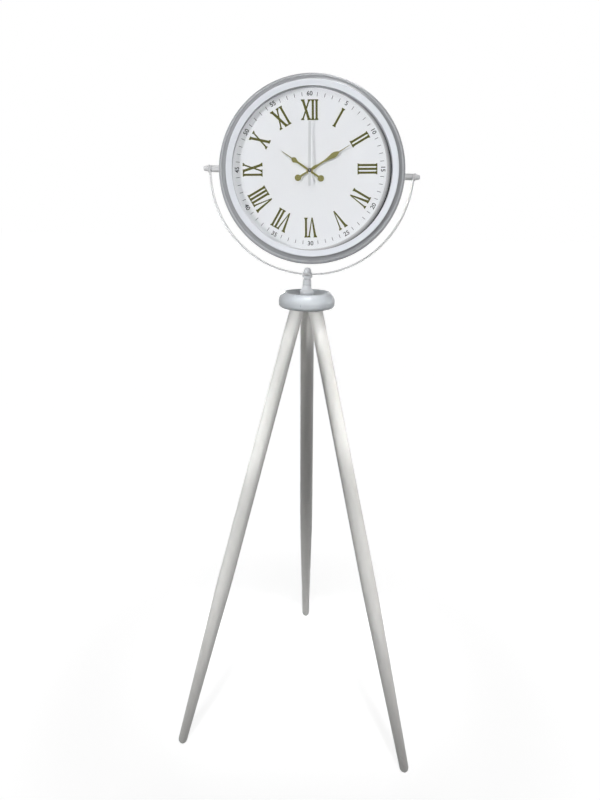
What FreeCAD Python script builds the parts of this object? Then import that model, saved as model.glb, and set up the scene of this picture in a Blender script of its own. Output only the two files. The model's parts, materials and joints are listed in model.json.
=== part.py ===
"""Tripod floor clock: a round head that tilts in a half-ring yoke, on a post, a hub and three legs."""
import FreeCAD, Part
import math
import os

# Driving dimensions, millimetres and degrees

# Case and dial. Depths are measured forward of the tilting axis.
CASE_RADIUS = 189.0
BEZEL_OUTER = 174.3
BEZEL_INNER = 161.8
BEZEL_FRONT = 34.6
DIAL_FRONT = 20.6
DIAL_THICKNESS = 1.6
DIAL_RADIUS = 160.8
FELT_THICKNESS = 0.6
DRUM_RADIUS = 173.5
DRUM_WALL = 1.5
DRUM_BACK = -26.0
CASE_RISE = 1.0
GLASS_THICKNESS = 2.0
COVER_THICKNESS = 1.2

# How the photographed clock stands: the post leans in its hub, the head tips back, the dial is
# turned so that its twelve stays upright, and its disc and hands are off the middle of the case.
POST_OFFSET = -1.2
POST_LEAN = 1.28
HEAD_TILT = -6.3
DIAL_TURN = 2.8
DISC_SHIFT = (-9.2, 2.2)
HANDS_SHIFT = (-5.3, -1.1)
HOUR_ANGLE = 304.5
MINUTE_ANGLE = 58.8
SECOND_ANGLE = 0.5

# Yoke: a flat strip bent round the tilting axis, which lies above the post's seat
PIVOT_HEIGHT = 257.5
YOKE_RADIUS = 210.0
YOKE_THICKNESS = 3.0
YOKE_WIDTH = 14.0
PIVOT_STUD = 3.0
YOKE_STUD = 4.0
SPACER_RADIUS = 6.8
KNOB_RADIUS = 8.0
KNOB_LENGTH = 12.6
FINIAL_TIP = 62.0

# Hub and legs
HUB_BOTTOM = 1031.3
HUB_RADIUS = 61.2
HUB_WIDEST = 9.7
HUB_HEIGHT = 33.7
HUB_RIM = 49.6
SEAT = 24.7
LEG_RADIUS = 15.4
LEG_SWELLING = 1.45
LEG_FOOT_RADIUS = 10.3
LEG_FLAT_RADIUS = 5.5
LEG_TAPER_LENGTH = 430.0
LEG_TOP_CIRCLE = 22.1
LEG_FOOT_CIRCLE = 299.8
LEG_AZIMUTHS = {"leg_left": -66.7, "leg_right": 54.0, "leg_rear": 176.0}
LEG_BOLT = 4.0
INSERT_RADIUS = 6.0
POST_STUD = 5.0
POST_INSERT_RADIUS = 7.0

# Fits, and the small flat on the end of a turned point
RUNNING = 0.05
APART = 0.3
POINT_FLAT = 0.8

# Quartz movement: depths forward of the tilting axis, gear centres from the hands' axis
MOVEMENT_SIDE = 56.0
MOVEMENT_FRONT = 17.8
MOVEMENT_BACK = 0.0
MOVEMENT_WALL = 1.2
MOVEMENT_SPLIT = 9.0
BUSH_RADIUS = 4.0
BUSH_LENGTH = 5.2
SECOND_ARBOR = 0.4
MINUTE_TUBE = 1.4
HOUR_TUBE = 2.5
ARBOR = 0.4
SET_ARBOR = 0.8
BATTERY_RADIUS = 7.1
BATTERY_LENGTH = 49.5
BATTERY_LINE = (-19.3, 9.0)
THIRD_PLACE = (7.2, 50.0)
STEP_PLACE = (6.4, 115.0)
MOTION_PLACE = (9.0, 180.0)
ROTOR_TURN = 160.0

# Tooth counts of each pair of gears, pinion first
ROTOR_TO_STEP = (8, 60)
STEP_TO_SECOND = (8, 32)
SECOND_TO_THIRD = (8, 64)
THIRD_TO_MINUTE = (8, 60)
MINUTE_TO_MOTION = (12, 36)
MOTION_TO_HOUR = (10, 40)
ROTOR_MODULE = 0.17
PRESSURE_ANGLE = 20.0
WHEEL_ADDENDUM = 0.7
PINION_ADDENDUM = 0.8
DEDENDUM = 1.25
BACKLASH = 0.3

# Heights of the gear layers, back and front of each
STEP_LAYER = (4.6, 5.4)
SECOND_LAYER = (6.4, 7.2)
THIRD_LAYER = (9.0, 9.8)
MINUTE_LAYER = (11.7, 12.5)
MOTION_LAYER = (13.4, 14.2)
HOUR_LAYER = (15.0, 15.8)
PLATE_LAYER = (10.2, 10.9)
PINION_OVERHANG = 0.3

# Hands, measured from their axis. A leaf is where the spade starts, is widest and ends.
HAND_THICKNESS = 0.6
HOUR_HAND_BACK = 23.4
MINUTE_HAND_BACK = 25.1
SECOND_HAND_BACK = 27.3
HOUR_HAND_LENGTH = 68.0
MINUTE_HAND_LENGTH = 94.5
SECOND_HAND_LENGTH = 96.0
SECOND_HAND_TAIL = 31.0
SECOND_HAND_WIDTH = 5.2
SECOND_CAP = 4.0
HAND_SPADE = 5.3
HOUR_STEM = 1.9
MINUTE_STEM = 1.8
HOUR_LEAF = (28.5, 36.5, 43.5)
MINUTE_LEAF = (34.0, 55.0, 70.0)
MINUTE_SWELLING = 3.2
HAND_NEEDLE = 0.9
HAND_POINT = 0.35
COUNTERWEIGHT = 6.4
COUNTERWEIGHT_PLACE = 27.8

SEAT_HEIGHT = HUB_BOTTOM + SEAT
LEG_SPLAY = math.degrees(math.atan2(LEG_FOOT_CIRCLE - LEG_TOP_CIRCLE, HUB_BOTTOM))
X_AXIS = FreeCAD.Vector(1, 0, 0)
Y_AXIS = FreeCAD.Vector(0, 1, 0)
Z_AXIS = FreeCAD.Vector(0, 0, 1)
ORIGIN = FreeCAD.Vector(0, 0, 0)


# Shapes in general

def vec(x, y, z):
    return FreeCAD.Vector(x, y, z)


def placement(x=0.0, y=0.0, z=0.0, axis=Z_AXIS, angle=0.0):
    return FreeCAD.Placement(vec(x, y, z), FreeCAD.Rotation(axis, angle))


def placed(shape, place):
    moved = shape.copy()
    moved.Placement = place.multiply(moved.Placement)
    return moved


def outline(start, *steps):
    """Face in the XZ plane. A step (r, h) is a line, a step (middle, end) is an arc."""
    edges = []
    here = vec(start[0], 0, start[1])
    for step in steps + (start,):
        if isinstance(step[0], tuple):
            middle = vec(step[0][0], 0, step[0][1])
            end = vec(step[1][0], 0, step[1][1])
            edges.append(Part.Arc(here, middle, end).toShape())
        else:
            end = vec(step[0], 0, step[1])
            if end.distanceToPoint(here) > 1e-6:
                edges.append(Part.LineSegment(here, end).toShape())
        here = end
    return Part.Face(Part.Wire(edges))


def turned(start, *steps):
    """Solid of revolution about Z of an outline given by radius and height."""
    return outline(start, *steps).revolve(ORIGIN, Z_AXIS, 360)


def plate(bottom, top, start, *steps):
    """Flat piece between two heights, from an outline in X and Y."""
    face = outline(start, *steps).rotated(ORIGIN, X_AXIS, -90)
    return face.translated(vec(0, 0, bottom)).extrude(vec(0, 0, top - bottom))


def rod(radius, bottom, top, x=0.0, y=0.0):
    return Part.makeCylinder(radius, top - bottom, vec(x, y, bottom))


def pipe(outer, inner, bottom, top, x=0.0, y=0.0):
    return rod(outer, bottom, top, x, y).cut(rod(inner, bottom, top, x, y))


def block(low, high):
    size = vec(*high) - vec(*low)
    return Part.makeBox(size.x, size.y, size.z, vec(*low))


def hexagon(across, bottom, top, bore):
    corners = [(across / math.sqrt(3) * math.cos(math.radians(60 * k)),
                across / math.sqrt(3) * math.sin(math.radians(60 * k))) for k in range(6)]
    return plate(bottom, top, *corners).cut(rod(bore, bottom, top))


def polar(radius, angle):
    return radius * math.cos(math.radians(angle)), radius * math.sin(math.radians(angle))


# Where the assemblies stand

UPPER = placement(POST_OFFSET, 0, SEAT_HEIGHT, Y_AXIS, POST_LEAN)
HEAD = UPPER.multiply(placement(0, 0, PIVOT_HEIGHT, X_AXIS, 90 + HEAD_TILT))
CASE = HEAD.multiply(placement(0, CASE_RISE, 0))
DIAL = CASE.multiply(placement(*HANDS_SHIFT, 0, Z_AXIS, DIAL_TURN))


def leg_place(azimuth):
    """Frame whose Z runs up a leg from the centre of its rounded tip."""
    tip_height = math.sqrt(LEG_FOOT_RADIUS ** 2 - LEG_FLAT_RADIUS ** 2)
    reach = LEG_FOOT_CIRCLE - tip_height * math.tan(math.radians(LEG_SPLAY))
    around = placement(0, 0, 0, Z_AXIS, azimuth)
    return around.multiply(placement(0, -reach, tip_height, X_AXIS, -LEG_SPLAY))


def leg_length():
    """Distance along a leg from its tip's centre to the hub's underside."""
    tip_height = math.sqrt(LEG_FOOT_RADIUS ** 2 - LEG_FLAT_RADIUS ** 2)
    return (HUB_BOTTOM - tip_height) / math.cos(math.radians(LEG_SPLAY))


# Stand

BOLT_IN_HUB = 16.0
BOLT_IN_LEG = 45.0
POST_STUD_DEPTH = 13.0
POST_STUD_RISE = 18.0
YOKE_STUD_DEPTH = 14.0
WASHER_THICKNESS = 0.8
COLLAR_TOP = PIVOT_HEIGHT - YOKE_RADIUS - YOKE_THICKNESS / 2 - APART - WASHER_THICKNESS
FINIAL_FOOT = PIVOT_HEIGHT - YOKE_RADIUS + YOKE_THICKNESS / 2 + 1.5 * APART + WASHER_THICKNESS


def insert_tool(radius, length, azimuth):
    start = leg_length() - LEG_RADIUS
    return placed(rod(radius, start, leg_length() + length), leg_place(azimuth))


def hub():
    """Turned disc: rounded side, dished top, and drilled sockets for the post and the legs."""
    body = turned((0, 0), (52.0, 0), ((59.3, 3.2), (HUB_RADIUS, HUB_WIDEST)),
                  ((58.8, 24.5), (HUB_RIM + 2.3, HUB_HEIGHT - 1.1)),
                  ((HUB_RIM, HUB_HEIGHT), (HUB_RIM - 2.0, HUB_HEIGHT - 1.3)),
                  ((40.0, SEAT + 2.3), (28.0, SEAT)), (0, SEAT))
    body = body.translated(vec(0, 0, HUB_BOTTOM))
    seat_clearance = rod(15.0, 0, 4.0)
    socket = rod(POST_INSERT_RADIUS + RUNNING, -POST_STUD_DEPTH - 2.0, 1.0)
    body = body.cut(placed(seat_clearance.fuse(socket), UPPER))
    for azimuth in LEG_AZIMUTHS.values():
        body = body.cut(insert_tool(INSERT_RADIUS + RUNNING, BOLT_IN_HUB + 1.5, azimuth))
    return body


def leg(azimuth):
    """Round leg: widest below its middle, tapering to a ball tip with a small flat on the floor."""
    top = leg_length() + LEG_RADIUS
    ball = LEG_FOOT_RADIUS / math.sqrt(2)
    widest = LEG_RADIUS + LEG_SWELLING
    blend = 85.0
    body = turned((0, -LEG_FOOT_RADIUS), ((ball, -ball), (LEG_FOOT_RADIUS, 0)),
                  (widest - 0.6, LEG_TAPER_LENGTH - blend),
                  ((widest, LEG_TAPER_LENGTH), (widest - 0.05, LEG_TAPER_LENGTH + blend)),
                  (LEG_RADIUS, top), (0, top))
    body = body.cut(rod(LEG_BOLT + RUNNING, leg_length() - BOLT_IN_LEG - 1.0, top))
    body = placed(body, leg_place(azimuth))
    reach = LEG_FOOT_CIRCLE + 100.0
    return body.common(block((-reach, -reach, 0), (reach, reach, HUB_BOTTOM)))


def leg_bolts():
    length = leg_length()
    bolt = rod(LEG_BOLT, length - BOLT_IN_LEG, length + BOLT_IN_HUB)
    return Part.makeCompound([placed(bolt, leg_place(a)) for a in LEG_AZIMUTHS.values()])


def leg_inserts():
    reach = 2 * HUB_RADIUS
    above = block((-reach, -reach, HUB_BOTTOM), (reach, reach, HUB_BOTTOM + HUB_HEIGHT))
    inserts = []
    for azimuth in LEG_AZIMUTHS.values():
        sleeve = insert_tool(INSERT_RADIUS, BOLT_IN_HUB, azimuth)
        bore = insert_tool(LEG_BOLT + RUNNING, BOLT_IN_HUB, azimuth)
        inserts.append(sleeve.cut(bore).common(above))
    return Part.makeCompound(inserts)


def post():
    """Turned post: round foot, flared neck with a fine ring line, waist groove and collar."""
    body = turned((0, 0), (14.6, 0), (14.6, 9.6), ((14.2, 11.7), (12.6, 12.8)),
                  ((10.6, 17.5), (10.1, 24.1)), (9.1, 24.7), (9.1, 25.4), (9.9, 26.0),
                  (9.0, 33.5), (8.5, 36.4), (7.2, 37.2), (7.2, 39.3), (9.8, 40.1), (9.8, 41.2),
                  ((11.4, 42.9), (10.4, COLLAR_TOP)), (0, COLLAR_TOP))
    body = body.cut(rod(POST_STUD + RUNNING, 0, POST_STUD_RISE + 1.0))
    return body.cut(rod(YOKE_STUD + RUNNING, COLLAR_TOP - YOKE_STUD_DEPTH - 1.0, COLLAR_TOP))


def post_stud():
    return rod(POST_STUD, -POST_STUD_DEPTH, POST_STUD_RISE)


def post_insert():
    return pipe(POST_INSERT_RADIUS, POST_STUD + RUNNING, -POST_STUD_DEPTH, -RUNNING)


def yoke_stud():
    return rod(YOKE_STUD, COLLAR_TOP - YOKE_STUD_DEPTH, FINIAL_FOOT + 6.0)


def yoke_washers():
    lower = pipe(9.0, YOKE_STUD + RUNNING, COLLAR_TOP, COLLAR_TOP + WASHER_THICKNESS)
    upper = pipe(8.0, YOKE_STUD + RUNNING, FINIAL_FOOT - WASHER_THICKNESS, FINIAL_FOOT)
    return Part.makeCompound([lower, upper])


def finial():
    """Acorn nut with a collar and a blunt bullet point."""
    foot = FINIAL_FOOT
    body = turned((0, foot), (9.4, foot), ((9.9, foot + 0.8), (9.2, foot + 1.7)), (7.9, foot + 2.1),
                  ((7.6, foot + 6.0), (5.6, FINIAL_TIP - 1.9)),
                  ((3.6, FINIAL_TIP - 0.4), (POINT_FLAT, FINIAL_TIP)), (0, FINIAL_TIP))
    return body.cut(rod(YOKE_STUD + RUNNING, foot, foot + 6.5))


# Yoke

def yoke():
    """Half ring of flat strip with rounded ends, bored for the post's stud and the two pivots."""
    outer = YOKE_RADIUS + YOKE_THICKNESS / 2
    inner = YOKE_RADIUS - YOKE_THICKNESS / 2
    half = YOKE_WIDTH / 2
    centre = vec(0, -half, PIVOT_HEIGHT)
    ring = Part.makeCylinder(outer, YOKE_WIDTH, centre, Y_AXIS)
    ring = ring.cut(Part.makeCylinder(inner, YOKE_WIDTH, centre, Y_AXIS))
    lower = block((-outer, -half, PIVOT_HEIGHT - outer - 1), (outer, half, PIVOT_HEIGHT))
    across = vec(-outer, 0, PIVOT_HEIGHT)
    ends = Part.makeCylinder(half, 2 * outer, across, X_AXIS)
    strip = ring.common(lower.fuse(ends))
    strip = strip.cut(Part.makeCylinder(PIVOT_STUD + RUNNING, 2 * outer, across, X_AXIS))
    return strip.cut(rod(YOKE_STUD + RUNNING, 0, PIVOT_HEIGHT - inner + 5.0))


# Pivots, along the tilting axis on both sides of the head

STRIP_INSIDE = YOKE_RADIUS - YOKE_THICKNESS / 2
STRIP_OUTSIDE = YOKE_RADIUS + YOKE_THICKNESS / 2
KNOB_FOOT = STRIP_OUTSIDE + APART
SPACER_END = STRIP_INSIDE - 1.6
NUT_SEAT = DRUM_RADIUS - DRUM_WALL - 0.4
NUT_HEIGHT = 5.0
NUT_ACROSS = 10.0
STUD_INNER_END = NUT_SEAT - NUT_HEIGHT - 3.0


def both_sides(make):
    """The piece made along +Z turned onto the right and the left of the tilting axis."""
    right = make().rotated(ORIGIN, Y_AXIS, 90)
    left = make().rotated(ORIGIN, Y_AXIS, -90)
    return right, left


def drum_tool(radius):
    return rod(radius, 2 * DRUM_BACK, -2 * DRUM_BACK, 0, CASE_RISE)


def pivot_spacers():
    make = lambda: pipe(SPACER_RADIUS, PIVOT_STUD + RUNNING, DRUM_RADIUS - 5.0, SPACER_END)
    return Part.makeCompound([side.cut(drum_tool(DRUM_RADIUS + RUNNING)) for side in both_sides(make)])


def pivot_washers():
    bottom = SPACER_END
    top = STRIP_INSIDE - APART - 0.3
    return Part.makeCompound(both_sides(lambda: pipe(6.4, PIVOT_STUD + RUNNING, bottom, top)))


def pivot_studs():
    return Part.makeCompound(both_sides(lambda: rod(PIVOT_STUD, STUD_INNER_END, KNOB_FOOT + 7.0)))


def pivot_nuts():
    nut = lambda: hexagon(NUT_ACROSS, NUT_SEAT - NUT_HEIGHT, NUT_SEAT, PIVOT_STUD + RUNNING)
    return Part.makeCompound(both_sides(nut))


def pivot_knob():
    """Small acorn knob: collar, waist line and a tapering rounded point."""
    foot = KNOB_FOOT
    tip = foot + KNOB_LENGTH
    body = turned((0, foot), (KNOB_RADIUS - 1.0, foot),
                  ((KNOB_RADIUS, foot + 1.6), (KNOB_RADIUS - 1.0, foot + 3.2)),
                  (KNOB_RADIUS - 1.8, foot + 3.7), ((KNOB_RADIUS - 2.6, foot + 7.2), (4.6, tip - 1.8)),
                  ((3.0, tip - 0.4), (POINT_FLAT, tip)), (0, tip))
    return body.cut(rod(PIVOT_STUD + RUNNING, foot, foot + 7.5))


def pivot_knobs():
    return Part.makeCompound(both_sides(pivot_knob))


# Case

DIAL_BACK = DIAL_FRONT - DIAL_THICKNESS
SEAT_FACE = DIAL_BACK - FELT_THICKNESS
SEAT_INNER = BEZEL_INNER - 10.0
SEAT_OUTER = DIAL_RADIUS + math.hypot(*DISC_SHIFT) + APART
BEZEL_DISH = 1.6
LIP_BACK = BEZEL_FRONT - BEZEL_DISH - 1.1
GLASS_BACK = LIP_BACK - GLASS_THICKNESS
GLASS_RADIUS = BEZEL_INNER + 2.5
BEZEL_BACK = BEZEL_FRONT - 8.0
RING_WIDEST = BEZEL_FRONT - 11.2
COVER_RADIUS = DRUM_RADIUS - 3.0
COVER_SCREWS = 6
COVER_SCREW_CIRCLE = COVER_RADIUS - 5.0
COVER_SCREW = 1.5
COVER_OPENING = MOVEMENT_SIDE + 12.0


def case_drum():
    """Drum with an inward flange in front, where the dial sits, and one behind for the cover."""
    inner = DRUM_RADIUS - DRUM_WALL
    body = turned((inner, DRUM_BACK + DRUM_WALL), (inner, SEAT_FACE - DRUM_WALL),
                  (SEAT_INNER, SEAT_FACE - DRUM_WALL), (SEAT_INNER, SEAT_FACE),
                  (DRUM_RADIUS, SEAT_FACE), (DRUM_RADIUS, DRUM_BACK),
                  (COVER_SCREW_CIRCLE - 6.0, DRUM_BACK), (COVER_SCREW_CIRCLE - 6.0, DRUM_BACK + DRUM_WALL))
    for k in range(COVER_SCREWS):
        x, y = polar(COVER_SCREW_CIRCLE, 360.0 / COVER_SCREWS * k + 30.0)
        body = body.cut(rod(COVER_SCREW + RUNNING, DRUM_BACK - 1.0, DRUM_BACK + DRUM_WALL + 1.0, x, y))
    across = vec(-DRUM_RADIUS - 1.0, -CASE_RISE, 0)
    return body.cut(Part.makeCylinder(PIVOT_STUD + RUNNING, 2 * DRUM_RADIUS + 2.0, across, X_AXIS))


def case_ring():
    """Moulded outer ring: a cove falling from the bezel, a fine bead and a rounded rim; behind, a rebate."""
    inner = GLASS_RADIUS + 0.6
    edge = BEZEL_OUTER + 0.3
    rebate = DIAL_FRONT + RUNNING
    cove = BEZEL_FRONT - 7.2
    return turned((SEAT_OUTER, SEAT_FACE), (SEAT_OUTER, rebate), (inner, rebate),
                  (inner, BEZEL_BACK - RUNNING), (edge, BEZEL_BACK - RUNNING),
                  (edge, BEZEL_FRONT - 2.2), ((177.4, cove + 1.7), (182.4, cove)),
                  ((183.5, cove + 1.1), (184.6, cove - 0.2)),
                  ((187.8, cove - 1.6), (CASE_RADIUS, RING_WIDEST)),
                  ((188.2, RING_WIDEST - 3.4), (184.5, SEAT_FACE)))


def bezel():
    """White ring: a face dished a little to the glass, a rounded edge, and a rebate behind its lip."""
    edge = 1.5
    return turned((BEZEL_INNER, LIP_BACK), (BEZEL_INNER, BEZEL_FRONT - BEZEL_DISH),
                  (BEZEL_OUTER - edge, BEZEL_FRONT),
                  ((BEZEL_OUTER - 0.3 * edge, BEZEL_FRONT - 0.3 * edge), (BEZEL_OUTER, BEZEL_FRONT - edge)),
                  (BEZEL_OUTER, BEZEL_BACK), (GLASS_RADIUS + 0.4, BEZEL_BACK), (GLASS_RADIUS + 0.4, LIP_BACK))


def glass():
    return rod(GLASS_RADIUS, GLASS_BACK, LIP_BACK)


def spacer_ring():
    """White ring that keeps the glass off the dial."""
    return pipe(GLASS_RADIUS + 0.2, BEZEL_INNER + 0.2, DIAL_FRONT, GLASS_BACK)


def dial_felt():
    """Dark felt on the dial's seat. It shows on the right, where the disc stops short."""
    return pipe(SEAT_OUTER - APART, SEAT_INNER, SEAT_FACE, DIAL_BACK)


def dial():
    disc = rod(DIAL_RADIUS, DIAL_BACK, DIAL_FRONT, *DISC_SHIFT)
    return disc.cut(rod(BUSH_RADIUS + 0.1, DIAL_BACK, DIAL_FRONT, *HANDS_SHIFT))


def back_cover():
    """Back plate with an opening behind the movement, for its cell and its setting knob."""
    front = DRUM_BACK
    back = DRUM_BACK - COVER_THICKNESS
    half = COVER_OPENING / 2
    body = rod(COVER_RADIUS, back, front)
    corner = half - 8.0
    soft = half - 8.0 * (1 - math.sqrt(0.5))
    body = body.cut(plate(back - 1.0, front + 1.0, (half, -corner), (half, corner),
                          ((soft, soft), (corner, half)), (-corner, half), ((-soft, soft), (-half, corner)),
                          (-half, -corner), ((-soft, -soft), (-corner, -half)), (corner, -half),
                          ((soft, -soft), (half, -corner))))
    for k in range(COVER_SCREWS):
        x, y = polar(COVER_SCREW_CIRCLE, 360.0 / COVER_SCREWS * k + 30.0)
        body = body.cut(rod(COVER_SCREW + RUNNING, back - 1.0, front + 1.0, x, y))
    return body


def back_screws():
    """Pan-head screws that hold the back cover."""
    back = DRUM_BACK - COVER_THICKNESS
    screw = turned((0, back - 1.8), (POINT_FLAT, back - 1.8), ((2.1, back - 1.3), (2.8, back)),
                   (COVER_SCREW, back), (COVER_SCREW, back + 6.0), (0, back + 6.0))
    slot = block((-3.0, -0.35, back - 2.0), (3.0, 0.35, back - 0.9))
    screw = screw.cut(slot)
    turns = [360.0 / COVER_SCREWS * k + 30.0 for k in range(COVER_SCREWS)]
    return Part.makeCompound([screw.translated(vec(*polar(COVER_SCREW_CIRCLE, a), 0)) for a in turns])


# Gears: the hands' axis is the origin, and each gear meshes with one other

def gear_face(teeth, module, addendum, toward, gap_first):
    """Outline of a spur gear with a tooth, or a gap, pointing at its partner."""
    pitch = teeth * module / 2
    base = pitch * math.cos(math.radians(PRESSURE_ANGLE))
    involute = lambda angle: math.tan(angle) - angle
    half_tooth = (math.pi / 2 - BACKLASH) / teeth
    first = math.radians(toward) + (math.pi / teeth if gap_first else 0.0)

    def flank(radius):
        """Half the tooth's angle at a radius. Below the base circle the flank is radial."""
        at_pitch = involute(math.radians(PRESSURE_ANGLE))
        at_radius = involute(math.acos(min(1.0, base / radius)))
        return half_tooth + at_pitch - at_radius

    root = pitch - DEDENDUM * module
    radii = sorted({root, max(root, base), pitch, pitch + addendum * module})
    points = []
    for k in range(teeth):
        middle = first + 2 * math.pi * k / teeth
        rising = [(r, middle - flank(r)) for r in radii]
        falling = [(r, middle + flank(r)) for r in reversed(radii)]
        points += [vec(r * math.cos(a), r * math.sin(a), 0) for r, a in rising + falling]
    return Part.Face(Part.makePolygon(points + points[:1]))


def gear(teeth, module, layer, toward, gap_first, centre=(0.0, 0.0)):
    addendum = WHEEL_ADDENDUM if gap_first else PINION_ADDENDUM
    face = gear_face(teeth, module, addendum, toward, gap_first)
    return face.translated(vec(*centre, layer[0])).extrude(vec(0, 0, layer[1] - layer[0]))


def pinion_layer(layer):
    return layer[0] - PINION_OVERHANG, layer[1] + PINION_OVERHANG


def module_of(distance, pair):
    return 2 * distance / sum(pair)


THIRD_CENTRE = polar(*THIRD_PLACE)
STEP_CENTRE = polar(*STEP_PLACE)
MOTION_CENTRE = polar(*MOTION_PLACE)
ROTOR_DISTANCE = ROTOR_MODULE * sum(ROTOR_TO_STEP) / 2
ROTOR_CENTRE = tuple(s + r for s, r in zip(STEP_CENTRE, polar(ROTOR_DISTANCE, ROTOR_TURN)))
BACK_BEARING = MOVEMENT_BACK + 0.5
PLATE_BEARING = PLATE_LAYER[1] - 0.3


def rotor():
    """Permanent-magnet rotor with its pinion."""
    layer = pinion_layer(STEP_LAYER)
    pinion = gear(ROTOR_TO_STEP[0], ROTOR_MODULE, layer, ROTOR_TURN + 180, False, ROTOR_CENTRE)
    magnet = rod(3.0, 6.6, 9.4, *ROTOR_CENTRE)
    return pinion.fuse([magnet, rod(ARBOR, BACK_BEARING, PLATE_BEARING, *ROTOR_CENTRE)])


def step_wheel():
    wheel = gear(ROTOR_TO_STEP[1], ROTOR_MODULE, STEP_LAYER, ROTOR_TURN, True, STEP_CENTRE)
    module = module_of(STEP_PLACE[0], STEP_TO_SECOND)
    layer = pinion_layer(SECOND_LAYER)
    pinion = gear(STEP_TO_SECOND[0], module, layer, STEP_PLACE[1] + 180, False, STEP_CENTRE)
    return wheel.fuse([pinion, rod(ARBOR, BACK_BEARING, PLATE_BEARING, *STEP_CENTRE)])


def second_wheel():
    module = module_of(STEP_PLACE[0], STEP_TO_SECOND)
    wheel = gear(STEP_TO_SECOND[1], module, SECOND_LAYER, STEP_PLACE[1], True)
    module = module_of(THIRD_PLACE[0], SECOND_TO_THIRD)
    pinion = gear(SECOND_TO_THIRD[0], module, pinion_layer(THIRD_LAYER), THIRD_PLACE[1], False)
    sleeve = rod(0.6, SECOND_LAYER[1], THIRD_LAYER[0])
    return wheel.fuse([pinion, sleeve, rod(SECOND_ARBOR, BACK_BEARING, SECOND_HAND_BACK + 0.4)])


def third_wheel():
    module = module_of(THIRD_PLACE[0], SECOND_TO_THIRD)
    wheel = gear(SECOND_TO_THIRD[1], module, THIRD_LAYER, THIRD_PLACE[1] + 180, True, THIRD_CENTRE)
    module = module_of(THIRD_PLACE[0], THIRD_TO_MINUTE)
    layer = pinion_layer(MINUTE_LAYER)
    pinion = gear(THIRD_TO_MINUTE[0], module, layer, THIRD_PLACE[1] + 180, False, THIRD_CENTRE)
    return wheel.fuse([pinion, rod(ARBOR, BACK_BEARING, MOTION_LAYER[0] - 0.2, *THIRD_CENTRE)])


def minute_wheel():
    """Centre wheel and cannon pinion on the tube that carries the minute hand."""
    module = module_of(THIRD_PLACE[0], THIRD_TO_MINUTE)
    wheel = gear(THIRD_TO_MINUTE[1], module, MINUTE_LAYER, THIRD_PLACE[1], True)
    module = module_of(MOTION_PLACE[0], MINUTE_TO_MOTION)
    cannon = gear(MINUTE_TO_MOTION[0], module, pinion_layer(MOTION_LAYER), MOTION_PLACE[1], False)
    tube = rod(MINUTE_TUBE, MINUTE_LAYER[0] - 0.3, MINUTE_HAND_BACK + HAND_THICKNESS + 1.0)
    bore = rod(SECOND_ARBOR + RUNNING, MINUTE_LAYER[0] - 1.0, SECOND_HAND_BACK)
    return wheel.fuse([cannon, tube]).cut(bore)


def motion_wheel():
    module = module_of(MOTION_PLACE[0], MINUTE_TO_MOTION)
    wheel = gear(MINUTE_TO_MOTION[1], module, MOTION_LAYER, MOTION_PLACE[1] + 180, True, MOTION_CENTRE)
    module = module_of(MOTION_PLACE[0], MOTION_TO_HOUR)
    layer = pinion_layer(HOUR_LAYER)
    pinion = gear(MOTION_TO_HOUR[0], module, layer, MOTION_PLACE[1] + 180, False, MOTION_CENTRE)
    arbor = rod(SET_ARBOR, MOVEMENT_BACK - 4.0, MOVEMENT_FRONT - 0.5, *MOTION_CENTRE)
    return wheel.fuse([pinion, arbor])


def hour_wheel():
    module = module_of(MOTION_PLACE[0], MOTION_TO_HOUR)
    wheel = gear(MOTION_TO_HOUR[1], module, HOUR_LAYER, MOTION_PLACE[1], True)
    tube = rod(HOUR_TUBE, HOUR_LAYER[0], HOUR_HAND_BACK + HAND_THICKNESS + 0.4)
    return wheel.fuse(tube).cut(rod(MINUTE_TUBE + RUNNING, HOUR_LAYER[0] - 1.0, MINUTE_HAND_BACK))


def set_knob():
    """Knurled setting knob behind the movement, on the motion wheel's arbor."""
    ribs = 24
    back = MOVEMENT_BACK - 4.8
    body = turned((0, back), (4.4, back), ((4.9, back + 0.2), (5.0, back + 0.7)),
                  (5.0, back + 4.0), (0, back + 4.0))
    for k in range(ribs):
        body = body.cut(rod(0.35, back - 1.0, back + 3.2, *polar(5.1, 360.0 / ribs * k)))
    body = body.translated(vec(*MOTION_CENTRE, 0))
    return body.cut(rod(SET_ARBOR, MOVEMENT_BACK - 4.0, MOVEMENT_BACK, *MOTION_CENTRE))


# Movement

def movement_half(low, high, plate_low, plate_high):
    """Half of the movement's case: a plate with walls round it."""
    half = MOVEMENT_SIDE / 2
    inside = half - MOVEMENT_WALL
    walls = block((-half, -half, low), (half, half, high))
    walls = walls.cut(block((-inside, -inside, low), (inside, inside, high)))
    return walls.fuse(block((-half, -half, plate_low), (half, half, plate_high)))


def movement_front():
    """Front half with the threaded bush that the hands' tubes run through."""
    top = MOVEMENT_FRONT
    body = movement_half(MOVEMENT_SPLIT, top, top - MOVEMENT_WALL, top)
    body = body.fuse(rod(BUSH_RADIUS, top, top + BUSH_LENGTH))
    body = body.cut(rod(HOUR_TUBE + RUNNING, 0, top + BUSH_LENGTH))
    return body.cut(rod(SET_ARBOR + RUNNING, 0, top - 0.45, *MOTION_CENTRE))


def movement_back():
    """Back half with bearings for the arbors and a window for the cell."""
    bottom = MOVEMENT_BACK
    body = movement_half(bottom, MOVEMENT_SPLIT - RUNNING, bottom, bottom + MOVEMENT_WALL)
    line = BATTERY_LINE[0]
    reach = BATTERY_LENGTH / 2 + 1.2
    low = line - BATTERY_RADIUS
    high = line + BATTERY_RADIUS
    body = body.cut(block((-reach, low, bottom - 1.0), (reach, high, bottom + 2.0)))
    for centre in ((0.0, 0.0), THIRD_CENTRE, STEP_CENTRE, ROTOR_CENTRE):
        body = body.cut(rod(ARBOR + RUNNING, BACK_BEARING - 0.05, bottom + 5.0, *centre))
    return body.cut(rod(SET_ARBOR + RUNNING, bottom - 1.0, bottom + 5.0, *MOTION_CENTRE))


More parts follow.
